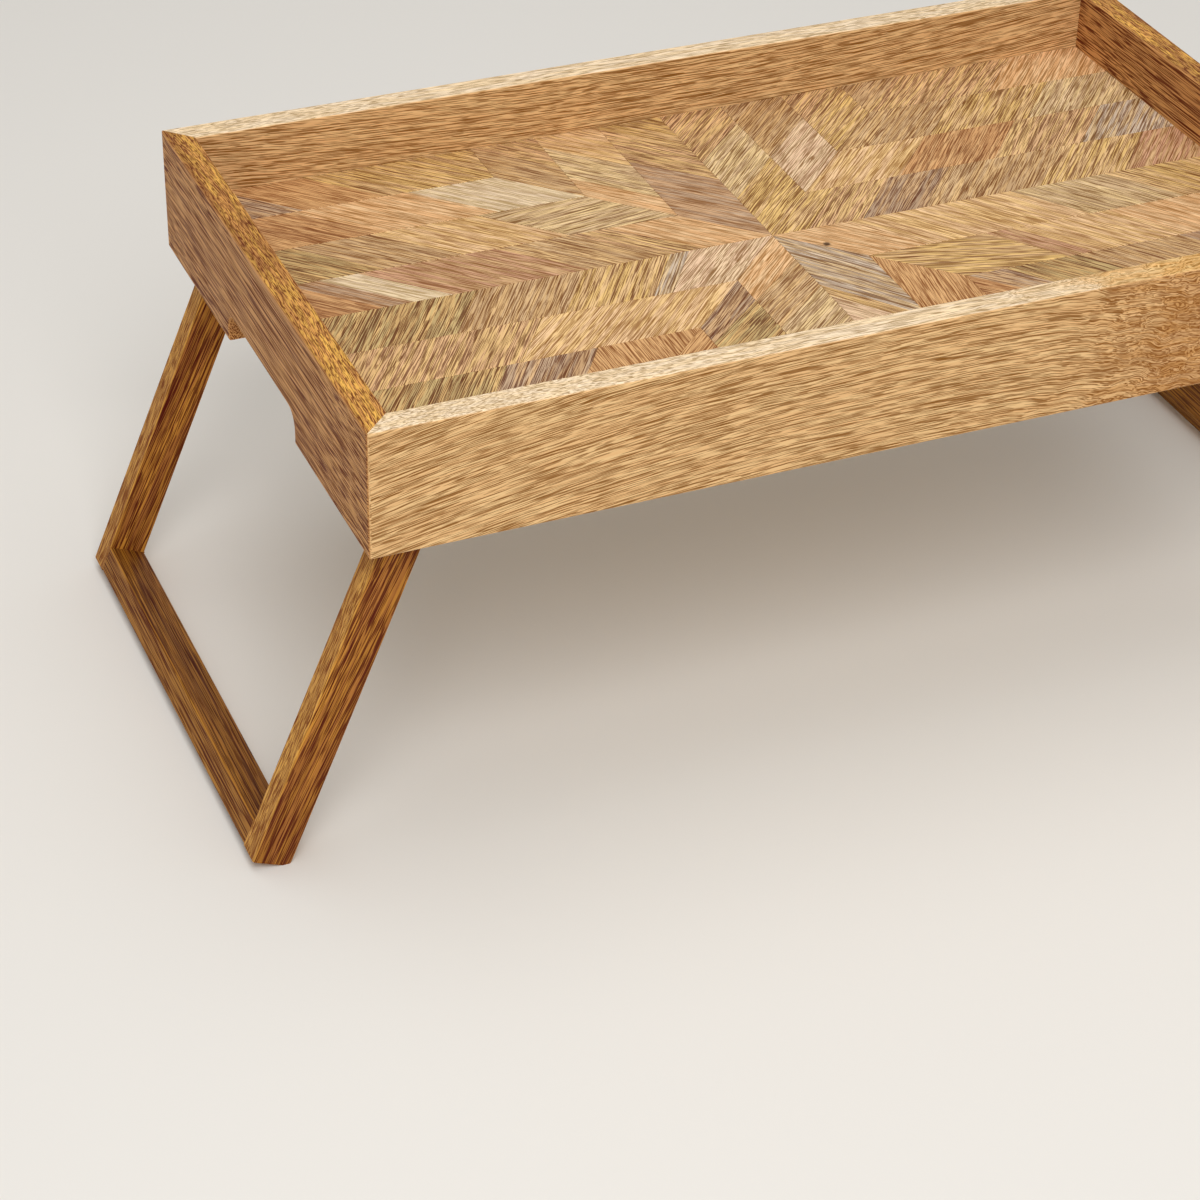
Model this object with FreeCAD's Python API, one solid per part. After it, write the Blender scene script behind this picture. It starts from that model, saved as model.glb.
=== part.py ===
import FreeCAD, Part
import math
import os

# Folding breakfast tray: a mitred rim round a star parquet floor, carried on two splayed leg
# frames that swing in and lie flat in the recess under the floor.
# Millimetres, +Z up, +X along the tray, front at -Y. The origin is on the table, under the
# middle of the tray, with both leg frames open.

Vector = FreeCAD.Vector
ORIGIN = Vector(0, 0, 0)
X_AXIS = Vector(1, 0, 0)
Y_AXIS = Vector(0, 1, 0)
Z_AXIS = Vector(0, 0, 1)

# Rim boards
tray_length = 600.0
tray_width = 348.0
rim_thickness = 16.0
rim_height = 73.0
rim_lift = 195.0  # table to the rim's lower edge
edge_round = 1.2  # eased long edges of boards and legs
corner_round = 2.0  # eased upright arris of each mitre

# Hand notch in the lower edge of each end board
notch_length = 114.0
notch_depth = 18.0
notch_round = 10.0

# Floor: parquet strips glued to a panel that is housed in grooves of the rim
parquet_thickness = 4.0
panel_thickness = 6.0
groove_depth = 6.0
panel_clearance = 0.2
band_width = 40.0
glue_line = 0.12

# Loose tongues hidden in the mitres
tongue_thickness = 3.0
tongue_width = 12.0
tongue_stop = 9.0  # solid wood above and below a tongue
tongue_clearance = 0.1
tongue_place_share = 0.44  # place across the rim's thickness
mitre_deg = 45.0

# Folding leg frames
leg_splay_deg = 22.5
leg_depth = 22.0
leg_width = 16.0
foot_rail_height = 16.0
foot_flat = 5.0  # sole planed on the lower inner edge
leg_side_gap = 3.4  # rim's inner face to the upright
fold_clearance = 2.5  # folded leg to the floor panel, and to the rim's lower edge
stop_clearance = 0.3  # open leg to the end board's lower edge

# Dowels that join each foot rail to its uprights
dowel_diameter = 6.0
dowel_spacing = 10.0
dowel_in_upright = 11.0
dowel_in_rail = 17.0
dowel_relief = 0.5
dowel_clearance = 0.05

# Leg pivots: a shoulder screw in a threaded insert, with a spacer and a bush
shoulder_diameter = 6.5
thread_diameter = 5.0
thread_length = 10.0
head_diameter = 13.0
head_height = 3.5
head_round = 1.2
socket_width = 4.0
socket_depth = 2.2
socket_sides = 6
head_clearance = 0.3
insert_diameter = 8.0
insert_length = 11.0
insert_relief = 0.8
spacer_diameter = 17.0
bush_diameter = 9.0
running_clearance = 0.05
seat_clearance = 0.02  # screw thread, insert and bush in their holes
side_clearance = 0.3  # spacer to the turning upright

overrun = 5.0  # how far cutting bodies pass the faces that they cut

# Strip joints of the parquet, as shares of each course's run from the star's diagonal to the
# rim. One row per course, counted outwards from the axis through the star's centre.
long_joint_shares = {
    "front_left": ((0.18, 0.22, 0.40, 0.62), (0.47,), (0.29, 0.54), (0.35, 0.70)),
    "back_left": (
        (0.15, 0.23, 0.39, 0.67, 0.75, 0.81),
        (0.27, 0.53, 0.72),
        (0.26, 0.60, 0.80),
        (0.40, 0.70),
    ),
    "front_right": ((0.16, 0.53, 0.75), (0.30, 0.37, 0.62), (0.12, 0.34, 0.66), (0.30, 0.65)),
    "back_right": ((0.08, 0.20, 0.34, 0.60, 0.80), (0.25, 0.50, 0.74), (0.30, 0.62), (0.50,)),
}
cross_joint_shares = {
    "front_left": ((0.19, 0.39), (0.20, 0.52), (0.50,), ()),
    "back_left": ((0.45, 0.72), (0.20, 0.55), (0.50,), ()),
    "front_right": ((0.38, 0.46, 0.72), (0.60,), (0.45,), ()),
    "back_right": ((0.30, 0.60), (0.40,), (0.50,), ()),
}
# How far a joint leans outwards across its course, as a share of the course's width
long_lean_shares = {"front_left": 0.68, "back_left": 1.0, "front_right": 0.76, "back_right": 0.90}
cross_lean_shares = {"front_left": 0.85, "back_left": 1.0, "front_right": 1.30, "back_right": 1.0}

# Which way each quarter of the tray lies from the origin, along X and along Y
quarters = {
    "front_left": (-1, -1),
    "back_left": (-1, 1),
    "front_right": (1, -1),
    "back_right": (1, 1),
}

# Places worked out from the sizes above
half_length = tray_length / 2
half_width = tray_width / 2
inner_half_length = half_length - rim_thickness
inner_half_width = half_width - rim_thickness
rim_top = rim_lift + rim_height
recess_depth = leg_depth + 2 * fold_clearance
panel_bottom = rim_lift + recess_depth
panel_top = panel_bottom + panel_thickness
floor_top = panel_top + parquet_thickness

leg_outer = inner_half_width - leg_side_gap
leg_inner = leg_outer - leg_width
pivot_height = rim_lift + recess_depth / 2
splay = math.radians(leg_splay_deg)
eased_corner = edge_round * (math.cos(splay) + math.sin(splay) - 1)
stop_reach = leg_depth / 2 + stop_clearance - eased_corner
pivot_inset = (stop_reach + recess_depth / 2 * math.sin(splay)) / math.cos(splay)
pivot_x = inner_half_length - pivot_inset
sole_depth = foot_flat * math.sin(splay) * math.cos(splay)
leg_length = (pivot_height + sole_depth - leg_depth / 2 * math.sin(splay)) / math.cos(splay)


def block(low, high):
    size = high.sub(low)
    return Part.makeBox(size.x, size.y, size.z, low)


def rod(diameter, start, end):
    run = end.sub(start)
    return Part.makeCylinder(diameter / 2, run.Length, start, run)


def prism(points, sweep):
    outline = Part.makePolygon(points + points[:1])
    return Part.Face(outline).extrude(sweep)


def mirrored(shape, axis):
    return shape.mirror(ORIGIN, axis)


def in_quarter(shape, quarter):
    """Copy a front left shape into another quarter of the tray."""
    along, across = quarters[quarter]
    placed = mirrored(shape, X_AXIS) if along > 0 else shape
    return mirrored(placed, Y_AXIS) if across > 0 else placed


def edges_along(shape, axis):
    """Straight edges of a shape that run along an axis."""
    found = []
    for edge in shape.Edges:
        run = edge.Vertexes[-1].Point.sub(edge.Vertexes[0].Point)
        if run.Length > 0 and run.cross(axis).Length < run.Length * Part.Precision.confusion():
            found.append(edge)
    return found


def edges_on_faces(shape, axis, places):
    """Edges that lie flat in planes square to an axis, at the given places on it."""
    found = []
    for edge in shape.Edges:
        spots = [point.dot(axis) for point in edge.discretize(Number=3)]
        for place in places:
            if max(abs(spot - place) for spot in spots) < Part.Precision.confusion():
                found.append(edge)
    return found


# Rim


def mitre_wedge(keeps_rail):
    """The neighbour's side of the front left mitre: cut from a rail, or from an end board."""
    outer = Vector(-half_length - overrun, -half_width - overrun, rim_lift - overrun)
    inner = Vector(overrun - inner_half_length, overrun - inner_half_width, rim_lift - overrun)
    side = Vector(outer.x, inner.y, outer.z) if keeps_rail else Vector(inner.x, outer.y, outer.z)
    return prism([outer, inner, side], Z_AXIS * (rim_height + 2 * overrun))


def rim_envelope():
    """Outside of the whole rim, with its upright corners eased."""
    low = Vector(-half_length, -half_width, rim_lift)
    high = Vector(half_length, half_width, rim_top)
    whole = block(low, high)
    return whole.makeFillet(corner_round, edges_along(whole, Z_AXIS))


def panel(clearance):
    """Floor panel, or with a negative clearance the room that the grooves leave for it."""
    reach_x = inner_half_length + groove_depth - clearance
    reach_y = inner_half_width + groove_depth - clearance
    drop = min(clearance, 0)
    low = Vector(-reach_x, -reach_y, panel_bottom + drop)
    high = Vector(reach_x, reach_y, panel_top - drop)
    return block(low, high)


def tongue(clearance):
    """Loose tongue square to the front left mitre, or the slot that takes it."""
    half_thick = tongue_thickness / 2 + clearance
    half_wide = tongue_width / 2 + clearance
    low = Vector(-half_wide, -half_thick, rim_lift + tongue_stop - clearance)
    high = Vector(half_wide, half_thick, rim_top - tongue_stop + clearance)
    plate = block(low, high)
    plate.rotate(ORIGIN, Z_AXIS, -mitre_deg)
    inset = rim_thickness * tongue_place_share
    plate.translate(Vector(inset - half_length, inset - half_width, 0))
    return plate


def insert_hole():
    mouth = Vector(-pivot_x, -inner_half_width, pivot_height)
    bottom = mouth - Y_AXIS * (insert_length + insert_relief)
    return rod(insert_diameter + 2 * seat_clearance, mouth + Y_AXIS * overrun, bottom)


def front_rail():
    low = Vector(-half_length, -half_width, rim_lift)
    high = Vector(half_length, -inner_half_width, rim_top)
    board = block(low, high)
    board = board.makeFillet(edge_round, edges_along(board, X_AXIS))
    cutters = [mitre_wedge(True), tongue(tongue_clearance), insert_hole()]
    cutters += [mirrored(cutter, X_AXIS) for cutter in cutters]
    cutters.append(panel(-panel_clearance))
    return board.common(rim_envelope()).cut(cutters)


def hand_notch():
    low = Vector(-half_length - overrun, -notch_length / 2, rim_lift - notch_round)
    high = Vector(overrun - inner_half_length, notch_length / 2, rim_lift + notch_depth)
    room = block(low, high)
    upper = [edge for edge in edges_along(room, X_AXIS) if edge.CenterOfMass.z > rim_lift]
    return room.makeFillet(notch_round, upper)


def left_end_board():
    low = Vector(-half_length, -half_width, rim_lift)
    high = Vector(-inner_half_length, half_width, rim_top)
    board = block(low, high).cut(hand_notch())
    outlines = edges_on_faces(board, X_AXIS, (-half_length, -inner_half_length))
    ends = edges_on_faces(board, Y_AXIS, (-half_width, half_width))
    eased = [edge for edge in outlines if not any(edge.isSame(end) for end in ends)]
    board = board.makeFillet(edge_round, eased)
    cutters = [mitre_wedge(False), tongue(tongue_clearance)]
    cutters += [mirrored(cutter, Y_AXIS) for cutter in cutters]
    cutters.append(panel(-panel_clearance))
    return board.common(rim_envelope()).cut(cutters)


# Parquet floor


def joint_along(joint, course_in, reach, across, gap_side):
    """How far out along its arm a joint lies on one line across it, on one side of the glue."""
    run_share, lean_share = joint
    middle = course_in + run_share * (reach - course_in) + lean_share * (across - course_in)
    return middle + gap_side * glue_line / 2 * math.hypot(1, lean_share)


def strip_plan(course_in, course_out, reach, start, end):
    """Corners of one strip, as places along and across its arm."""
    low = course_in + glue_line / 2
    high = course_out - glue_line / 2
    near_end = [(joint_along(start, course_in, reach, across, 1), across) for across in (high, low)]
    far_end = [(joint_along(end, course_in, reach, across, -1), across) for across in (low, high)]
    return near_end + far_end


def arm_plans(course, reach, joint_shares, lean_share):
    """All strips of one arm of a course, from the star's diagonal to past the rim's inside."""
    course_in = course * band_width
    course_out = min(course_in + band_width, inner_half_width)
    past_rim_share = 1 + band_width / (reach - course_in)
    joints = [(0, 1)]
    joints += [(share, lean_share) for share in joint_shares]
    joints.append((past_rim_share, 0))
    return [strip_plan(course_in, course_out, reach, *ends) for ends in zip(joints, joints[1:])]


def floor_room():
    low = Vector(glue_line - inner_half_length, glue_line - inner_half_width, panel_top)
    high = Vector(inner_half_length - glue_line, inner_half_width - glue_line, floor_top)
    return block(low, high)


def parquet_course(quarter, course):
    """One mitred course of a quarter: a long arm beside the X axis, a cross arm beside the Y axis."""
    x_sign, y_sign = quarters[quarter]
    long_rows = long_joint_shares[quarter]
    cross_rows = cross_joint_shares[quarter]
    long_joints = long_rows[course % len(long_rows)]
    cross_joints = cross_rows[course % len(cross_rows)]
    plans = arm_plans(course, inner_half_length, long_joints, long_lean_shares[quarter])
    for plan in arm_plans(course, inner_half_width, cross_joints, cross_lean_shares[quarter]):
        plans.append([(across, along) for along, across in plan])
    room = floor_room()
    strips = []
    for plan in plans:
        points = [Vector(x_sign * x, y_sign * y, panel_top) for x, y in plan]
        strips += prism(points, Z_AXIS * parquet_thickness).common(room).Solids
    return Part.makeCompound(strips)


# Leg frames. A leg is drawn upright with its pivot on the origin, then swung out and set in place.

leg_place = FreeCAD.Placement(
    Vector(-pivot_x, 0, pivot_height), FreeCAD.Rotation(Y_AXIS, leg_splay_deg)
)


def set_open(shape):
    """Place a left leg piece at its open pose and plane it level with the table."""
    placed = shape.transformed(leg_place.toMatrix())
    reach = tray_length + leg_length
    below = block(Vector(-reach, -tray_width, -leg_depth), Vector(reach, tray_width, 0))
    return placed.cut(below)


def upright_bar():
    """Round-topped bar down to the foot rail, eased all round."""
    half = leg_depth / 2
    foot = foot_rail_height - leg_length
    top = Part.Arc(Vector(-half, -leg_outer, 0), Vector(0, -leg_outer, half), Vector(half, -leg_outer, 0))
    sides = [
        Part.LineSegment(Vector(half, -leg_outer, 0), Vector(half, -leg_outer, foot)),
        Part.LineSegment(Vector(half, -leg_outer, foot), Vector(-half, -leg_outer, foot)),
        Part.LineSegment(Vector(-half, -leg_outer, foot), Vector(-half, -leg_outer, 0)),
    ]
    outline = Part.Wire([top.toShape()] + [side.toShape() for side in sides])
    bar = Part.Face(outline).extrude(Y_AXIS * leg_width)
    outlines = edges_on_faces(bar, Y_AXIS, (-leg_outer, -leg_inner))
    ends = edges_on_faces(bar, Z_AXIS, (foot,))
    eased = [edge for edge in outlines if not any(edge.isSame(end) for end in ends)]
    return bar.makeFillet(edge_round, eased)


def upright_foot():
    """Lowest length of an upright, left square where the foot rail butts against it."""
    half = leg_depth / 2
    low = Vector(-half, -leg_outer, -leg_length)
    high = Vector(half, -leg_inner, foot_rail_height - leg_length)
    foot = block(low, high)
    eased = [edge for edge in edges_along(foot, Z_AXIS) if edge.CenterOfMass.y < -leg_inner]
    return foot.makeFillet(edge_round, eased)


def leg_dowels(clearance, relief):
    """The dowels of the front joint, or the holes that take them."""
    height = foot_rail_height / 2 - leg_length
    pegs = []
    for side in (-1, 1):
        place = side * dowel_spacing / 2
        start = Vector(place, -leg_inner - dowel_in_upright - relief, height)
        end = Vector(place, dowel_in_rail + relief - leg_inner, height)
        pegs.append(rod(dowel_diameter + 2 * clearance, start, end))
    return pegs


def front_upright():
    bar = upright_bar().fuse(upright_foot()).removeSplitter()
    bore_start = Vector(0, -leg_outer - overrun, 0)
    bore_end = Vector(0, overrun - leg_inner, 0)
    bore = rod(bush_diameter + 2 * seat_clearance, bore_start, bore_end)
    return set_open(bar.cut([bore] + leg_dowels(dowel_clearance, dowel_relief)))


def foot_rail():
    half = leg_depth / 2
    low = Vector(-half, -leg_inner, -leg_length)
    high = Vector(half, leg_inner, foot_rail_height - leg_length)
    rail = block(low, high)
    rail = rail.makeFillet(edge_round, edges_along(rail, Y_AXIS))
    holes = leg_dowels(dowel_clearance, dowel_relief)
    holes += [mirrored(hole, Y_AXIS) for hole in holes]
    return set_open(rail.cut(holes))


def dowel_set():
    pegs = leg_dowels(0, 0)
    pegs += [mirrored(peg, Y_AXIS) for peg in pegs]
    return Part.makeCompound([set_open(peg) for peg in pegs])


# Pivot hardware of the front left corner


def pivot_at(y):
    return Vector(-pivot_x, y, pivot_height)


def pivot_insert():
    face = pivot_at(-inner_half_width)
    end = face - Y_AXIS * insert_length
    body = rod(insert_diameter, face, end)
    bore = rod(thread_diameter + 2 * seat_clearance, face + Y_AXIS * overrun, end - Y_AXIS * overrun)
    return body.cut(bore)


def pivot_screw():
    face = pivot_at(-inner_half_width)
    seat = pivot_at(head_clearance - leg_inner)
    top = seat + Y_AXIS * head_height
    head = rod(head_diameter, seat, top)
    head = head.makeFillet(head_round, edges_on_faces(head, Y_AXIS, (top.y,)))
    corner = socket_width / 2 / math.cos(math.pi / socket_sides)
    hexagon = []
    for side in range(socket_sides):
        turn = 2 * math.pi * side / socket_sides
        hexagon.append(top + Vector(corner * math.cos(turn), 0, corner * math.sin(turn)))
    socket = prism(hexagon, Y_AXIS * -socket_depth)
    shoulder = rod(shoulder_diameter, face, seat)
    thread = rod(thread_diameter, face - Y_AXIS * thread_length, face)
    return head.cut(socket).fuse([shoulder, thread]).removeSplitter()


def pivot_spacer():
    face = pivot_at(-inner_half_width)
    end = face + Y_AXIS * (leg_side_gap - side_clearance)
    ring = rod(spacer_diameter, face, end)
    bore_diameter = shoulder_diameter + 2 * running_clearance
    return ring.cut(rod(bore_diameter, face - Y_AXIS * overrun, end + Y_AXIS * overrun))


def pivot_bush():
    start = pivot_at(-leg_outer)
    end = pivot_at(-leg_inner)
    sleeve = rod(bush_diameter, start, end)
    bore_diameter = shoulder_diameter + 2 * running_clearance
    return sleeve.cut(rod(bore_diameter, start - Y_AXIS * overrun, end + Y_AXIS * overrun))


def build_nodes():
    rail = front_rail()
    end_board = left_end_board()
    nodes = {
        "front_rail": rail,
        "back_rail": mirrored(rail, Y_AXIS),
        "left_end_board": end_board,
        "right_end_board": mirrored(end_board, X_AXIS),
        "floor_panel": panel(panel_clearance),
    }
    courses = math.ceil(inner_half_width / band_width)
    corner_pieces = {
        "mitre_tongue": tongue(0),
        "pivot_insert": pivot_insert(),
        "pivot_screw": pivot_screw(),
        "pivot_spacer": pivot_spacer(),
        "pivot_bush": pivot_bush(),
        "upright": front_upright(),
    }
    for quarter in quarters:
        for course in range(courses):
            nodes[f"{quarter}_parquet_course_{course + 1}"] = parquet_course(quarter, course)
        for name, shape in corner_pieces.items():
            nodes[f"{quarter}_{name}"] = in_quarter(shape, quarter)
    rail = foot_rail()
    dowels = dowel_set()
    nodes["left_foot_rail"] = rail
    nodes["right_foot_rail"] = mirrored(rail, X_AXIS)
    nodes["left_leg_dowels"] = dowels
    nodes["right_leg_dowels"] = mirrored(dowels, X_AXIS)
    return nodes


os.makedirs("parts", exist_ok=True)
for node, shape in build_nodes().items():
    shape.exportStep(f"parts/{node}.step")
    print(f"{node}: {len(shape.Solids)} solids, {shape.Volume:.0f} mm3, valid {shape.isValid()}")
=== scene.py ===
import math
from collections import namedtuple

import bmesh
import bpy
from mathutils import Matrix, Vector


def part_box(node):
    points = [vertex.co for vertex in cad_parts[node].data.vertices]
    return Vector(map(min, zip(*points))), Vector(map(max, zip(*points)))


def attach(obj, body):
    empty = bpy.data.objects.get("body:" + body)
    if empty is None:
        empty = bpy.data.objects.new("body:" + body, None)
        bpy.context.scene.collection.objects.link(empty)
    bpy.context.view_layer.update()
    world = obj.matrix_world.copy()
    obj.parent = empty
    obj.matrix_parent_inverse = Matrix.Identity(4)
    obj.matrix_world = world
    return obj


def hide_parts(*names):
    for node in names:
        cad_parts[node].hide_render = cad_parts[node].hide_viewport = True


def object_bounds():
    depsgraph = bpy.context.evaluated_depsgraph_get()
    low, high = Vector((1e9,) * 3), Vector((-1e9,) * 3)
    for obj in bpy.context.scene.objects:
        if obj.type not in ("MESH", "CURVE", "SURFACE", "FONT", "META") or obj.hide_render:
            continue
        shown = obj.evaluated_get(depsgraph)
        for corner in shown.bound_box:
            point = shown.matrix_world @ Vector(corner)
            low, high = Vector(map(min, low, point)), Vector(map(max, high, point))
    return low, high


# Looks of a folding wooden breakfast tray: oiled boards and legs, a star of parquet strips, and
# the small hardware of the leg pivots. Lengths are metres, apart from the wood's own figure,
# which is written in millimetres.

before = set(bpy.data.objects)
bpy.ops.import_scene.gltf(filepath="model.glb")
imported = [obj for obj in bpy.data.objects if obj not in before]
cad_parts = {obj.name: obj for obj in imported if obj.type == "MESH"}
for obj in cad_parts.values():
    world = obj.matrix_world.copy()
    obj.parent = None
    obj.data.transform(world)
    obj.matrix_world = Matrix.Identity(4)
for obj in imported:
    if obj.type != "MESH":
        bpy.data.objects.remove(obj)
cad_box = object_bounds()

millimetre = 0.001

# Camera, at the photograph's viewing angle
camera_place = Vector((-0.72025, -1.42302, 1.08224))
camera_azimuth_deg = 23.563
camera_elevation_deg = 34.654
camera_roll_deg = 1.391
camera_lens_mm = 96.347
camera_sensor_mm = 36.0

# Studio
floor_half_side = 8.0
floor_colour = "e4e1dc"
floor_second_colour = "e7e4df"
floor_roughness = 0.9
floor_fade = (1.0, 3.0)
floor_detail = 2.0
backdrop_colour = "e6e3de"
sky_colour = "f2f0ec"
sky_strength = 0.50
lamp_aim = Vector((0.0, 0.0, 0.15))
key_place = Vector((-0.75, -2.2, 2.6))
key_side = 1.8
key_power = 62.0
top_place = Vector((0.1, 0.2, 2.6))
top_side = 2.0
top_power = 18.0

# Parquet strips
strip_arris = 0.15 * millimetre
weld_distance = 0.002 * millimetre
level_tolerance = 0.05 * millimetre
slant_share = 0.2
course_count = 4

# Figure of the wood. A feature is its size in millimetres along and across the grain, the detail of
# its noise, and the noise levels at which it starts and is full.
Feature = namedtuple("Feature", "size detail limits")
streak_feature = Feature((40.0, 2.5), 1.0, (0.40, 0.60))
band_feature = Feature((300.0, 8.0), 3.0, (0.36, 0.68))
line_feature = Feature((32.0, 0.53), 0.0, (0.50, 0.62))
dash_feature = Feature((11.0, 0.50), 0.0, (0.53, 0.63))
mottle_feature = Feature((40.0, 14.0), 2.0, (0.35, 0.70))
swirl_size = (95.0, 15.0)
swirl_detail = 1.0
swirl_rings = 9.0
swirl_limits = (0.1, 1.0)
wander_size = (150.0, 26.0)
wander_shift = 5.0
wave_size = (34.0, 8.0)
wave_shift = 1.1
sway_detail = 2.0
curl_size = (13.0, 9.0)
curl_shift = 8.0
curl_detail = 1.0
seed_step = (137.0, 59.0, 31.0)
grain_drop = (0.95, 1.05, 1.20)  # share of a wood's depth taken from red, green and blue

# Burl in the front rail, in millimetres
burl_reach = (60.0, 160.0, 190.0, 340.0)  # along the board: start, full, still full, end
burl_patch = (30.0, 30.0)
burl_detail = 2.0
burl_wander = 110.0
middle_level = 0.5  # mean level of a noise

# Surface of the wood
relief_depth = 0.12 * millimetre
relief_strength = 0.6
pore_line_share = 0.5  # depth of the lines beside that of the dashes
pore_range = (0.0, 1.2)
wood_roughness = (0.46, 0.66)  # between the pores, and in them
wood_specular = 0.1
edge_turn = (0.55, 0.85)  # how squarely a surface faces the edge's axis before it takes the edge wood
arris_turn = (0.80, 0.97)  # how squarely a surface faces any axis before it shows neither wear nor painted highlight
# strength of the lighter arrises: partly wear, partly a painted highlight
arris_wear_and_painted_highlight = 0.4

# Figure of a board: its own seed, the bow of its grain per millimetre, and the scale of the grain
# along and across, on its faces and on its edges
Figure = namedtuple("Figure", "seed bow grain edge_grain")
straight = 0.0
even = (1.0, 1.0)
end_grain = (3.2, 1.4)
end_edge_grain = (0.5, 1.0)
leg_grain = (1.4, 1.15)
foot_grain = (2.5, 1.2)
board_figures = {
    "front_rail": Figure(3, 0.00025, even, even),
    "back_rail": Figure(8, -0.00012, even, even),
    "left_end_board": Figure(5, 0.00010, end_grain, end_edge_grain),
    "right_end_board": Figure(11, 0.00012, end_grain, end_edge_grain),
}
panel_seed = 2
leg_seed = 20  # the legs' seeds count up from here
tongue_seed = 30

# Hardware: light and dark tone, and roughness
steel_look = ("b9bab8", "8f918f", 0.26)
brass_look = ("c9a357", "9c7534", 0.30)
metal_tone_scale = (1.2, 1.2, 1.2)
metal_tone_detail = 3.0
tool_mark_scale = (0.6, 9.0, 0.6)
tool_mark_detail = 2.0
tool_mark_roughness = 0.15
nylon_tones = ("e6e1d4", "d2ccbd")
nylon_scale = (0.4, 0.4, 0.4)
nylon_detail = 2.0
nylon_roughness = (0.42, 0.55)
tone_limits = (0.3, 0.7)

# A wood is its light colour, the colour of its streaks, how many levels darker its grain is, and
# the strength of its streaks, bands, lines, dashes, swirling figure and mottling.
Wood = namedtuple("Wood", "colour streak depth streaks bands lines dashes figure mottle")
woods = {
    "blush": Wood("f8d8b0", "f0c8a8", 130, 0.60, 0.10, 0.75, 0.55, 0.00, 0.10),
    "cream": Wood("f8e0b8", "e0c8b0", 100, 0.60, 0.10, 0.75, 0.55, 0.00, 0.10),
    "straw": Wood("f8d0a0", "f8d088", 120, 0.60, 0.10, 0.75, 0.55, 0.20, 0.10),
    "amber": Wood("f8d0a0", "f0b880", 110, 0.60, 0.10, 0.75, 0.55, 0.15, 0.10),
    "honey": Wood("e8b880", "e0b078", 120, 0.60, 0.15, 0.75, 0.55, 0.10, 0.15),
    "gold": Wood("f0c890", "f0c878", 145, 0.70, 0.15, 0.80, 0.55, 0.00, 0.15),
    "tan": Wood("f0c888", "e8b890", 155, 0.60, 0.10, 0.75, 0.60, 0.00, 0.15),
    "olive": Wood("e8c080", "d0b880", 150, 0.80, 0.25, 0.85, 0.55, 0.00, 0.20),
    "reed": Wood("f8d8a0", "e8c8a0", 145, 0.70, 0.20, 0.80, 0.55, 0.00, 0.15),
    "rose": Wood("e0b888", "e0a890", 110, 0.60, 0.20, 0.75, 0.55, 0.10, 0.15),
    "umber": Wood("e8c088", "d8b890", 130, 0.60, 0.20, 0.80, 0.55, 0.00, 0.15),
    "mauve": Wood("f0d0a0", "d0c0b0", 140, 0.80, 0.25, 0.80, 0.55, 0.00, 0.15),
    "ash": Wood("d8b088", "c0a890", 100, 0.70, 0.25, 0.75, 0.55, 0.00, 0.15),
    "rust": Wood("e8b880", "e0a870", 130, 0.60, 0.25, 0.75, 0.55, 0.15, 0.20),
    "walnut": Wood("e0b888", "c0a890", 140, 0.70, 0.25, 0.80, 0.60, 0.00, 0.15),
    "rail": Wood("f0c890", "e8b880", 120, 0.65, 0.05, 0.80, 0.60, 0.00, 0.05),
    # rail_edge: the rails' top edges, lighter partly as paler wood and partly as a painted sheen
    "rail_edge": Wood("ffe8c8", "ffe0b0", 110, 0.60, 0.05, 0.40, 0.75, 0.00, 0.10),
    "end": Wood("d8a060", "d09860", 130, 0.40, 0.15, 0.90, 0.60, 0.00, 0.10),
    "end_edge": Wood("e8a858", "f8c058", 160, 0.80, 0.60, 0.55, 0.75, 0.10, 0.20),
    # leg: the uprights' front and back faces, darker partly as the wood's own tone and partly as painted
    # shade from the tray above
    "leg": Wood("b87838", "d09038", 115, 0.80, 0.40, 0.85, 0.70, 0.00, 0.20),
    "leg_edge": Wood("d8a050", "e0a850", 110, 0.60, 0.30, 0.85, 0.70, 0.00, 0.15),
    "foot": Wood("b07830", "b88030", 105, 0.70, 0.30, 0.85, 0.70, 0.00, 0.15),
    # foot_edge_painted_shade: the foot rails' top and bottom faces, darker than their own wood as painted
    # shade from the tray above
    "foot_edge_painted_shade": Wood("a06828", "b07828", 110, 0.80, 0.35, 0.80, 0.60, 0.00, 0.15),
    "burl": Wood("e8b880", "d09858", 110, 0.80, 0.10, 0.70, 0.65, 0.10, 0.25),
    "burl_edge": Wood("f0c888", "f0b870", 100, 0.80, 0.10, 0.45, 0.75, 0.00, 0.15),
    "ply": Wood("e0c8a0", "e0c090", 60, 0.40, 0.20, 0.35, 0.30, 0.18, 0.10),
    "beech": Wood("e8b888", "e0b080", 70, 0.30, 0.05, 0.35, 0.60, 0.00, 0.10),
}

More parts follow.
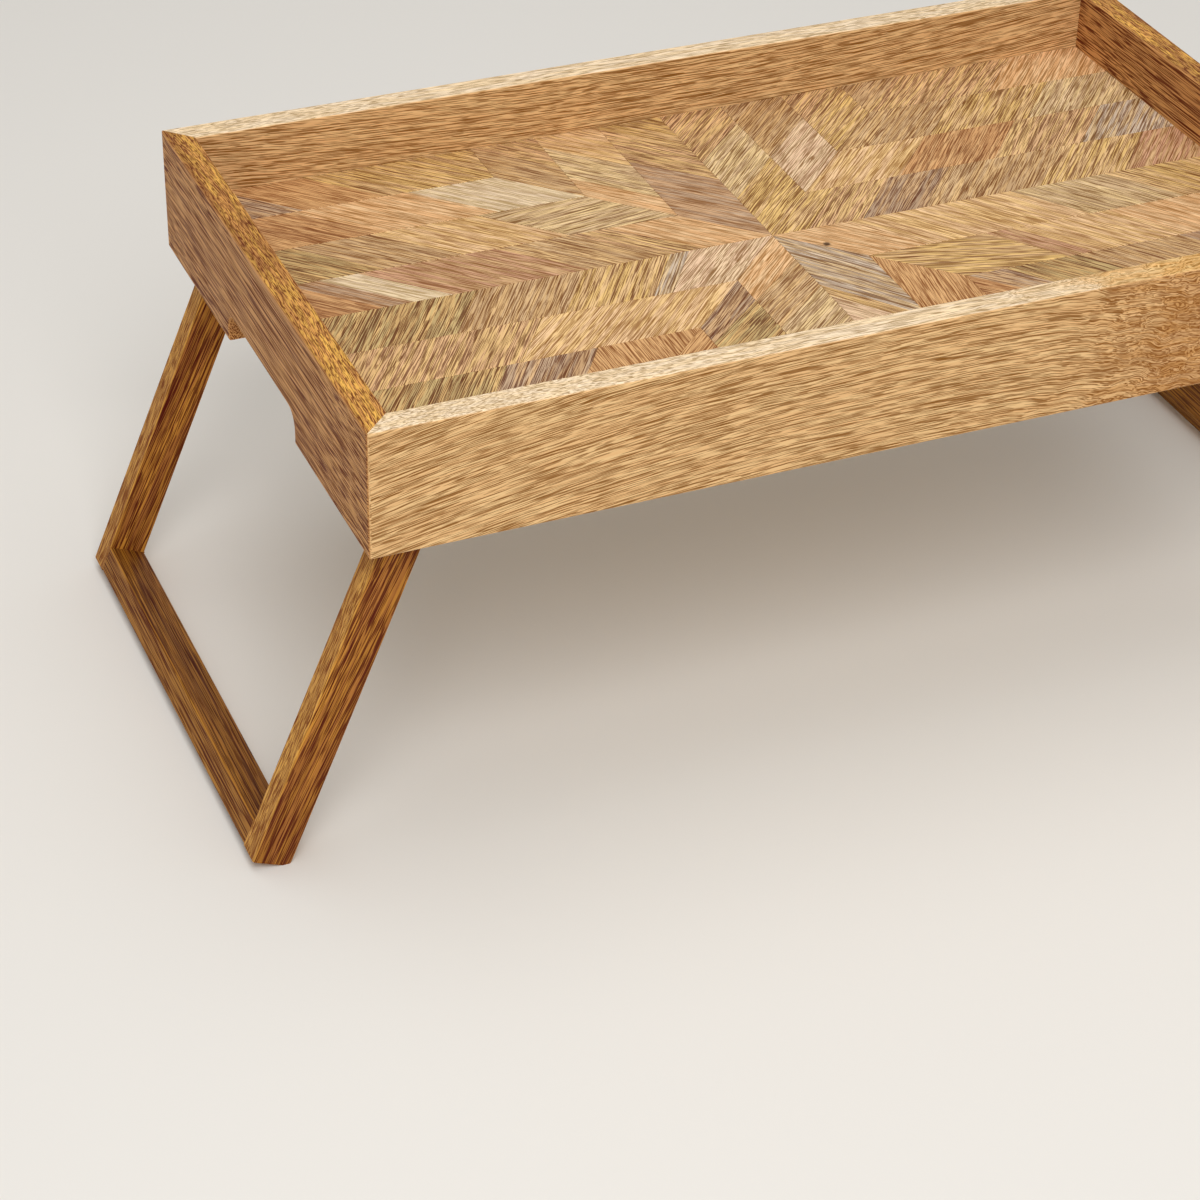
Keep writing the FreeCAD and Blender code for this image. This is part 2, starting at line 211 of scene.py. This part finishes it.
# Wood of every strip, from the star's diagonal outwards, one row per course
strip_woods = {
    "front_left": {
        "long": (
            ("blush", "mauve", "gold", "umber", "olive"),
            ("straw", "tan"),
            ("honey", "walnut", "olive"),
            ("tan", "gold", "umber"),
        ),
        "cross": (("amber", "umber", "reed"), ("walnut", "olive", "tan"), ("honey", "tan"), ("tan",)),
    },
    "back_left": {
        "long": (
            ("amber", "tan", "umber", "rose", "cream", "ash", "rust"),
            ("reed", "straw", "umber", "olive"),
            ("cream", "amber", "rust", "honey"),
            ("gold", "honey", "walnut"),
        ),
        "cross": (("ash", "tan", "gold"), ("amber", "reed", "straw"), ("umber", "tan"), ("gold",)),
    },
    "front_right": {
        "long": (
            ("amber", "straw", "reed", "gold"),
            ("gold", "rose", "straw", "amber"),
            ("walnut", "olive", "umber", "ash"),
            ("rust", "gold", "tan"),
        ),
        "cross": (("mauve", "gold", "blush", "tan"), ("honey", "gold"), ("rust", "umber"), ("gold",)),
    },
    "back_right": {
        "long": (
            ("gold", "tan", "walnut", "umber", "gold", "rose"),
            ("straw", "rust", "tan", "mauve"),
            ("umber", "gold", "reed"),
            ("tan", "amber"),
        ),
        "cross": (("gold", "reed", "tan"), ("blush", "umber"), ("gold", "tan"), ("umber",)),
    },
}
# Small knots in the parquet: millimetres along X and Y, and radius
knots = ((24.0, -20.0, 3.0), (35.0, 0.5, 2.0))
knot_woods = ("amber", "mauve", "gold")
knot_colour = "402818"
knot_wobble = 1.6
knot_detail = 1.0
knot_rim_shares = (0.7, 1.2)  # where a knot's rim starts and ends, as shares of its radius
knot_strength = 0.9
# Strips whose grain does not follow their slanted ends: quarter, arm, course, strip, degrees from X
turned_strips = {
    ("front_left", "long", 3, 1): 90.0,
    ("back_left", "long", 2, 1): 8.0,
    ("front_right", "long", 2, 1): -15.0,
    ("front_right", "cross", 2, 1): 82.0,
}


def linear(hex_colour, depth=0):
    """A colour of six hex digits, darker by some levels of 255, as linear red, green, blue, alpha."""
    channels = []
    for start, share in zip((0, 2, 4), grain_drop):
        level = max(int(hex_colour[start:start + 2], 16) - depth * share, 0) / 255
        channels.append(level / 12.92 if level <= 0.04045 else ((level + 0.055) / 1.055) ** 2.4)
    return (*channels, 1.0)


class Shading:
    """Nodes of one material or world. Each call adds a node and gives back its output."""

    def __init__(self, owner):
        owner.use_nodes = True
        self.owner = owner
        self.nodes = owner.node_tree.nodes
        self.links = owner.node_tree.links
        self.shader = self.nodes.get("Principled BSDF")

    def feed(self, socket, value):
        if isinstance(value, bpy.types.NodeSocket):
            self.links.new(value, socket)
        else:
            socket.default_value = value

    def add(self, kind, inputs, output=0, **settings):
        made = self.nodes.new(kind)
        for name, value in settings.items():
            setattr(made, name, value)
        for key, value in inputs.items():
            self.feed(made.inputs[key], value)
        return made.outputs[output]

    def math(self, operation, first, second):
        return self.add("ShaderNodeMath", {0: first, 1: second}, operation=operation)

    def vector(self, operation, *inputs):
        output = 1 if operation in ("DOT_PRODUCT", "LENGTH", "DISTANCE") else 0
        return self.add("ShaderNodeVectorMath", dict(enumerate(inputs)), output, operation=operation)

    def ramp(self, value, low, high, to_low=0.0, to_high=1.0):
        inputs = {0: value, 1: low, 2: high, 3: to_low, 4: to_high}
        return self.add("ShaderNodeMapRange", inputs, interpolation_type="SMOOTHSTEP")

    def blend(self, factor, first, second):
        return self.add("ShaderNodeMix", {0: factor, 6: first, 7: second}, 2, data_type="RGBA")

    def mix(self, factor, first, second):
        return self.add("ShaderNodeMix", {0: factor, 2: first, 3: second}, data_type="FLOAT")

    def noise(self, place, detail, output="Fac"):
        return self.add("ShaderNodeTexNoise", {"Vector": place, "Scale": 1.0, "Detail": detail}, output)

    def stretched(self, place, size):
        """A place measured in units of a feature's size along and across the grain."""
        along, across = size
        return self.vector("MULTIPLY", place, (1 / along, 1 / across, 1 / across))

    def set(self, **values):
        for name, value in values.items():
            self.feed(self.shader.inputs[name.replace("_", " ").title()], value)


def coordinates(shade, output):
    return shade.add("ShaderNodeTexCoord", {}, output)


def measured(shade):
    """Place in the part's frame, in millimetres."""
    point = shade.vector("SCALE", coordinates(shade, "Object"))
    point.node.inputs["Scale"].default_value = 1 / millimetre
    return point


def board_place(shade, along, seed, bow, grain):
    """Place in a board along, across and through its grain, in millimetres over the grain's scale."""
    run = Vector(along).normalized()
    side = run.orthogonal().normalized()
    through = run.cross(side)
    point = measured(shade)
    parts = [shade.vector("DOT_PRODUCT", point, tuple(axis)) for axis in (run, side, through)]
    if bow:
        bend = shade.math("MULTIPLY", shade.math("MULTIPLY", parts[0], parts[0]), bow)
        parts[1] = shade.math("ADD", parts[1], bend)
        parts[2] = shade.math("ADD", parts[2], bend)
    place = shade.stretched(shade.add("ShaderNodeCombineXYZ", dict(enumerate(parts))), grain)
    return shade.vector("ADD", place, tuple(seed * step for step in seed_step))


def strip_place(shade):
    """Place in a parquet strip, turned to the grain that its mesh carries."""
    grain = shade.add("ShaderNodeAttribute", {}, "Vector", attribute_name="grain")
    turn = shade.add("ShaderNodeSeparateXYZ", {0: grain})
    seed = turn.node.outputs[2]
    point = measured(shade)
    run = shade.add("ShaderNodeCombineXYZ", {0: turn.node.outputs[0], 1: turn.node.outputs[1]})
    side = shade.vector("CROSS_PRODUCT", (0.0, 0.0, 1.0), run)
    parts = [shade.vector("DOT_PRODUCT", point, axis) for axis in (run, side)]
    place = shade.add("ShaderNodeCombineXYZ", dict(enumerate(parts)))
    shift = shade.vector("SCALE", seed_step)
    shade.feed(shift.node.inputs["Scale"], seed)
    return shade.vector("ADD", place, shift)


Layers = namedtuple("Layers", "streaks bands lines dashes figure mottle")


def swayed(shade, place, size, shift):
    """A place pushed sideways, so that the grain wanders."""
    drift = shade.noise(shade.stretched(place, size), sway_detail, "Color")
    return shade.vector("ADD", place, shade.vector("MULTIPLY", drift, (0.0, shift, shift)))


def feature_mask(shade, place, feature):
    level = shade.noise(shade.stretched(place, feature.size), feature.detail)
    return shade.ramp(level, *feature.limits)


def wood_layers(shade, place):
    """Masks of the wood's figure, from 0 to 1."""
    place = swayed(shade, place, wander_size, wander_shift)
    place = swayed(shade, place, wave_size, wave_shift)
    field = shade.noise(shade.stretched(place, swirl_size), swirl_detail)
    rings = shade.math("SINE", shade.math("MULTIPLY", field, swirl_rings * 2 * math.pi), 0.0)
    return Layers(
        streaks=feature_mask(shade, place, streak_feature),
        bands=feature_mask(shade, place, band_feature),
        lines=feature_mask(shade, place, line_feature),
        dashes=feature_mask(shade, place, dash_feature),
        figure=shade.ramp(rings, *swirl_limits),
        mottle=feature_mask(shade, place, mottle_feature),
    )


def wood_colour(shade, layers, wood):
    streaked = shade.math("MULTIPLY", layers.streaks, wood.streaks)
    colour = shade.blend(streaked, linear(wood.colour), linear(wood.streak))
    dark = linear(wood.colour, wood.depth)
    for name in ("bands", "lines", "dashes", "figure", "mottle"):
        strength = getattr(wood, name)
        if strength:
            mask = shade.math("MULTIPLY", getattr(layers, name), strength)
            colour = shade.blend(mask, colour, dark)
    return colour


def pores(shade, layers):
    """Depth of the open grain, from 0 up."""
    return shade.math("ADD", layers.dashes, shade.math("MULTIPLY", layers.lines, pore_line_share))


def finish_wood(shade, colour, dips):
    height = shade.math("SUBTRACT", 1.0, dips)
    bump = {"Strength": relief_strength, "Distance": relief_depth, "Height": height}
    shade.set(base_color=colour, normal=shade.add("ShaderNodeBump", bump))
    shade.set(roughness=shade.ramp(dips, *pore_range, *wood_roughness))
    shade.feed(shade.shader.inputs["Specular IOR Level"], wood_specular)
    return shade.owner


def curled(shade, place, amount):
    """A place stirred in all directions where the amount is above 0, so that the grain curls."""
    drift = shade.noise(shade.stretched(place, curl_size), curl_detail, "Color")
    push = shade.vector("SCALE", shade.vector("MULTIPLY", drift, (curl_shift, curl_shift, curl_shift)))
    shade.feed(push.node.inputs["Scale"], amount)
    return shade.vector("ADD", place, push)


def burl_amount(shade, along, place):
    """How far a place lies in the burl, from 0 to 1, with a wandering border."""
    level = shade.noise(shade.stretched(place, burl_patch), burl_detail)
    drift = shade.math("MULTIPLY", shade.math("SUBTRACT", level, middle_level), burl_wander)
    reach = shade.math("ADD", shade.vector("DOT_PRODUCT", measured(shade), along), drift)
    start, full, still_full, end = burl_reach
    return shade.math("SUBTRACT", shade.ramp(reach, start, full), shade.ramp(reach, still_full, end))


def board_material(name, along, edge_axis, face, edge, figure, burl=False):
    """Oiled board with one wood on its faces, a second on its edges, and arrises painted lighter, partly as
    wear and partly as a painted highlight.
    """
    shade = Shading(bpy.data.materials.new(name))
    face_place = board_place(shade, along, figure.seed, figure.bow, figure.grain)
    edge_place = board_place(shade, along, figure.seed, figure.bow, figure.edge_grain)
    if burl:
        in_burl = burl_amount(shade, along, face_place)
        face_place = curled(shade, face_place, in_burl)
        edge_place = curled(shade, edge_place, in_burl)
    face_layers = wood_layers(shade, face_place)
    edge_layers = wood_layers(shade, edge_place)
    face_colour = wood_colour(shade, face_layers, woods[face])
    edge_colour = wood_colour(shade, edge_layers, woods[edge])
    if burl:
        face_colour = shade.blend(in_burl, face_colour, wood_colour(shade, face_layers, woods["burl"]))
        edge_colour = shade.blend(in_burl, edge_colour, wood_colour(shade, edge_layers, woods["burl_edge"]))
    run = Vector(along).normalized()
    up = Vector(edge_axis).normalized()
    normal = coordinates(shade, "Normal")
    turns = [shade.vector("DOT_PRODUCT", normal, tuple(axis)) for axis in (up, run, run.cross(up))]
    facing = [shade.math("ABSOLUTE", turn, 0.0) for turn in turns]
    on_edge = shade.ramp(facing[0], *edge_turn)
    flatness = shade.math("MAXIMUM", facing[0], shade.math("MAXIMUM", facing[1], facing[2]))
    # Rounded arrises are painted lighter: partly wear, partly a painted highlight where they would catch
    # the light.
    wear_and_painted_highlight = shade.ramp(flatness, *arris_turn, arris_wear_and_painted_highlight, 0.0)
    colour = shade.blend(on_edge, face_colour, edge_colour)
    colour = shade.blend(wear_and_painted_highlight, colour, linear(woods[face].streak))
    dips = shade.mix(on_edge, pores(shade, face_layers), pores(shade, edge_layers))
    return finish_wood(shade, colour, dips)


def add_knots(shade, colour):
    """Dark spots with ragged rims."""
    point = measured(shade)
    flat = shade.vector("MULTIPLY", point, (1.0, 1.0, 0.0))
    rag = shade.math("MULTIPLY", shade.noise(point, knot_detail), knot_wobble)
    for x, y, radius in knots:
        distance = shade.math("ADD", shade.vector("DISTANCE", flat, (x, y, 0.0)), rag)
        rim = [radius * share for share in knot_rim_shares]
        spot = shade.ramp(distance, *rim, knot_strength, 0.0)
        colour = shade.blend(spot, colour, linear(knot_colour))
    return colour


def strip_material(wood):
    shade = Shading(bpy.data.materials.new(f"parquet_{wood}"))
    layers = wood_layers(shade, strip_place(shade))
    colour = wood_colour(shade, layers, woods[wood])
    if wood in knot_woods:
        colour = add_knots(shade, colour)
    return finish_wood(shade, colour, pores(shade, layers))


def plain_wood(name, wood, along, seed):
    shade = Shading(bpy.data.materials.new(name))
    layers = wood_layers(shade, board_place(shade, along, seed, straight, even))
    return finish_wood(shade, wood_colour(shade, layers, woods[wood]), pores(shade, layers))


def metal(name, light, dark, roughness):
    """Turned metal with faint tool marks and a slightly uneven tone."""
    shade = Shading(bpy.data.materials.new(name))
    point = measured(shade)
    tone = shade.noise(shade.vector("MULTIPLY", point, metal_tone_scale), metal_tone_detail)
    marks = shade.noise(shade.vector("MULTIPLY", point, tool_mark_scale), tool_mark_detail)
    shade.set(base_color=shade.blend(shade.ramp(tone, *tone_limits), linear(light), linear(dark)))
    roughest = roughness + tool_mark_roughness
    shade.set(roughness=shade.ramp(marks, *tone_limits, roughness, roughest), metallic=1.0)
    return shade.owner


def nylon(name):
    shade = Shading(bpy.data.materials.new(name))
    point = measured(shade)
    cloud = shade.noise(shade.vector("MULTIPLY", point, nylon_scale), nylon_detail)
    light, dark = nylon_tones
    shade.set(base_color=shade.blend(cloud, linear(light), linear(dark)))
    shade.set(roughness=shade.ramp(cloud, *tone_limits, *nylon_roughness))
    return shade.owner


def paint(node, material):
    """Give a CAD node its finish."""
    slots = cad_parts[node].material_slots
    if not slots:
        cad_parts[node].data.materials.append(material)
    for slot in slots:
        slot.material = material


def strip_outlines(node):
    """Upper outline of each strip in a course, as corner points in order round the strip."""
    welded = bmesh.new()
    welded.from_mesh(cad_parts[node].data)
    bmesh.ops.remove_doubles(welded, verts=welded.verts, dist=weld_distance)
    top = max(vert.co.z for vert in welded.verts)
    waiting = set(welded.verts)
    outlines = []
    while waiting:
        group = [waiting.pop()]
        for vert in group:
            for edge in vert.link_edges:
                other = edge.other_vert(vert)
                if other in waiting:
                    waiting.remove(other)
                    group.append(other)
        corners = [vert.co.copy() for vert in group if top - vert.co.z < level_tolerance]
        middle = sum(corners, Vector()) / len(corners)
        corners.sort(key=lambda corner: math.atan2(corner.y - middle.y, corner.x - middle.x))
        outlines.append((middle, corners))
    welded.free()
    return outlines


def strip_grain(corners):
    """Angle of a strip's grain in plan: along the longest of its slanted ends."""
    sides = [end - start for start, end in zip(corners, corners[1:] + corners[:1])]
    slanted = [side for side in sides if min(abs(side.x), abs(side.y)) > slant_share * side.length]
    longest = max(slanted, key=lambda side: side.length)
    return math.atan2(longest.y, longest.x)


def add_strip(course, corners, depth, slot):
    """Add one flat strip with eased upper arrises to a course, and give its corner points."""
    laid = set(course.faces)
    upper = [course.verts.new(corner) for corner in corners]
    top = course.faces.new(upper)
    walls = bmesh.ops.extrude_face_region(course, geom=[top])["geom"]
    lower = [item for item in walls if isinstance(item, bmesh.types.BMVert)]
    bmesh.ops.translate(course, verts=lower, vec=Vector((0.0, 0.0, -depth)))
    rim = [edge for edge in course.edges if all(vert in upper for vert in edge.verts)]
    bmesh.ops.bevel(course, geom=rim, offset=strip_arris, segments=1, affect="EDGES")
    faces = [face for face in course.faces if face not in laid]
    bmesh.ops.recalc_face_normals(course, faces=faces)
    for face in faces:
        face.material_index = slot
    return {vert for face in faces for vert in face.verts}


def parquet_course(quarter, course_number, materials, first_seed):
    """The strips of one course, each with its own wood and grain, in place of the CAD node."""
    node = f"{quarter}_parquet_course_{course_number}"
    low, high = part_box(node)
    arms = {"long": [], "cross": []}
    for middle, corners in strip_outlines(node):
        arm = "long" if abs(middle.x) > abs(middle.y) else "cross"
        arms[arm].append((max(abs(middle.x), abs(middle.y)), corners))
    course = bmesh.new()
    grains = course.verts.layers.float_vector.new("grain")
    used = []
    seed = first_seed
    for arm, strips in arms.items():
        names = strip_woods[quarter][arm][course_number - 1]
        for number, (reach, corners) in enumerate(sorted(strips, key=lambda strip: strip[0])):
            wood = names[number % len(names)]
            if wood not in used:
                used.append(wood)
            turn = turned_strips.get((quarter, arm, course_number, number + 1))
            angle = strip_grain(corners) if turn is None else math.radians(turn)
            seed += 1
            for vert in add_strip(course, corners, high.z - low.z, used.index(wood)):
                vert[grains] = (math.cos(angle), math.sin(angle), seed)
    mesh = bpy.data.meshes.new(f"{node}_strips")
    for wood in used:
        mesh.materials.append(materials[wood])
    course.to_mesh(mesh)
    course.free()
    piece = bpy.data.objects.new(f"{node}_strips", mesh)
    bpy.context.scene.collection.objects.link(piece)
    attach(piece, "tray")
    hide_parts(node)
    return seed


def lay_parquet():
    rows = [row for arms in strip_woods.values() for arm in arms.values() for row in arm]
    names = sorted({name for row in rows for name in row})
    materials = {name: strip_material(name) for name in names}
    seed = 0
    for quarter in strip_woods:
        for course_number in range(1, course_count + 1):
            seed = parquet_course(quarter, course_number, materials, seed)


def finish_boards():
    along_x = (1.0, 0.0, 0.0)
    along_y = (0.0, 1.0, 0.0)
    up = (0.0, 0.0, 1.0)
    for end in ("front", "back"):
        node = f"{end}_rail"
        figure = board_figures[node]
        has_burl = end == "front"
        wood = board_material(f"{node}_wood", along_x, up, "rail", "rail_edge", figure, has_burl)
        paint(node, wood)
    for side in ("left", "right"):
        node = f"{side}_end_board"
        wood = board_material(f"{side}_end_wood", along_y, up, "end", "end_edge", board_figures[node])
        paint(node, wood)
    paint("floor_panel", plain_wood("panel_ply", "ply", along_x, panel_seed))


def finish_legs():
    across_leg = (0.0, 1.0, 0.0)
    seed = leg_seed
    for side, sign in (("left", -1), ("right", 1)):
        low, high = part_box(f"front_{side}_upright")
        splay = Vector((sign * (high.x - low.x), 0.0, low.z - high.z))
        for end in ("front", "back"):
            seed += 1
            figure = Figure(seed, straight, leg_grain, leg_grain)
            # The uprights' front and back faces take the leg wood, darkened partly as painted shade.
            wood = board_material(f"{end}_{side}_leg_wood", splay, across_leg, "leg_edge", "leg", figure)
            paint(f"{end}_{side}_upright", wood)
        seed += 1
        figure = Figure(seed, straight, foot_grain, foot_grain)
        # The foot rails' top and bottom faces take a darker wood, painted shade.
        wood = board_material(f"{side}_foot_wood", across_leg, splay, "foot", "foot_edge_painted_shade", figure)
        paint(f"{side}_foot_rail", wood)
        paint(f"{side}_leg_dowels", plain_wood(f"{side}_dowel_beech", "beech", across_leg, seed))


def finish_hardware():
    steel = metal("screw_steel", *steel_look)
    brass = metal("pivot_brass", *brass_look)
    plastic = nylon("spacer_nylon")
    beech = plain_wood("tongue_beech", "beech", (0.0, 0.0, 1.0), tongue_seed)
    for quarter in strip_woods:
        paint(f"{quarter}_pivot_screw", steel)
        paint(f"{quarter}_pivot_insert", brass)
        paint(f"{quarter}_pivot_bush", brass)
        paint(f"{quarter}_pivot_spacer", plastic)
        paint(f"{quarter}_mitre_tongue", beech)


def add_lamp(name, place, side, power):
    light = bpy.data.lights.new(name, "AREA")
    light.energy = power
    light.size = side
    lamp = bpy.data.objects.new(name, light)
    lamp.location = place
    lamp.rotation_euler = (lamp_aim - place).to_track_quat("-Z", "Y").to_euler()
    bpy.context.scene.collection.objects.link(lamp)


def seen_directly(shade):
    """1 for rays that show the backdrop, and 0 for those that only carry its light."""
    path = shade.nodes.new("ShaderNodeLightPath").outputs
    shown = shade.math("MAXIMUM", path["Is Glossy Ray"], path["Is Transmission Ray"])
    return shade.math("MAXIMUM", shown, path["Is Camera Ray"])


def make_floor():
    """A plain floor that takes the object's shadow and fades into the backdrop far away."""
    corners = [(-1, -1), (1, -1), (1, 1), (-1, 1)]
    ground = bpy.data.meshes.new("studio_floor")
    points = [(x * floor_half_side, y * floor_half_side, cad_box[0].z) for x, y in corners]
    ground.from_pydata(points, [], [range(len(points))])
    floor = bpy.data.objects.new("studio_floor", ground)
    bpy.context.scene.collection.objects.link(floor)
    shade = Shading(bpy.data.materials.new("studio_floor"))
    point = coordinates(shade, "Object")
    grain = shade.noise(point, floor_detail)
    colour = shade.blend(grain, linear(floor_colour), linear(floor_second_colour))
    shade.set(base_color=colour, roughness=floor_roughness)
    distance = shade.vector("LENGTH", point)
    far = shade.math("MULTIPLY", shade.ramp(distance, *floor_fade), seen_directly(shade))
    glow = shade.add("ShaderNodeEmission", {"Color": linear(backdrop_colour)})
    surface = shade.add("ShaderNodeMixShader", {0: far, 1: shade.shader.outputs["BSDF"], 2: glow})
    shade.links.new(surface, shade.nodes["Material Output"].inputs["Surface"])
    ground.materials.append(shade.owner)


def make_sky():
    """Even light from all round, with a pale backdrop where the camera looks past the floor."""
    sky = Shading(bpy.data.worlds.new("studio_sky"))
    light = sky.add("ShaderNodeBackground", {"Color": linear(sky_colour), "Strength": sky_strength})
    backdrop = sky.add("ShaderNodeBackground", {"Color": linear(backdrop_colour)})
    surface = sky.add("ShaderNodeMixShader", {0: seen_directly(sky), 1: light, 2: backdrop})
    sky.links.new(surface, sky.nodes["World Output"].inputs["Surface"])
    bpy.context.scene.world = sky.owner


def make_camera():
    lens = bpy.data.cameras.new("photo_camera")
    lens.lens = camera_lens_mm
    lens.sensor_width = camera_sensor_mm
    camera = bpy.data.objects.new("photo_camera", lens)
    heading = Matrix.Rotation(math.radians(-camera_azimuth_deg), 4, "Z")
    pitch = Matrix.Rotation(math.radians(90 - camera_elevation_deg), 4, "X")
    roll = Matrix.Rotation(math.radians(camera_roll_deg), 4, "Z")
    camera.matrix_world = Matrix.Translation(camera_place) @ heading @ pitch @ roll
    bpy.context.scene.collection.objects.link(camera)
    bpy.context.scene.camera = camera


lay_parquet()
finish_boards()
finish_legs()
finish_hardware()
make_floor()
make_sky()
add_lamp("key_lamp", key_place, key_side, key_power)
add_lamp("top_lamp", top_place, top_side, top_power)
make_camera()
bpy.context.scene.view_settings.view_transform = "Standard"
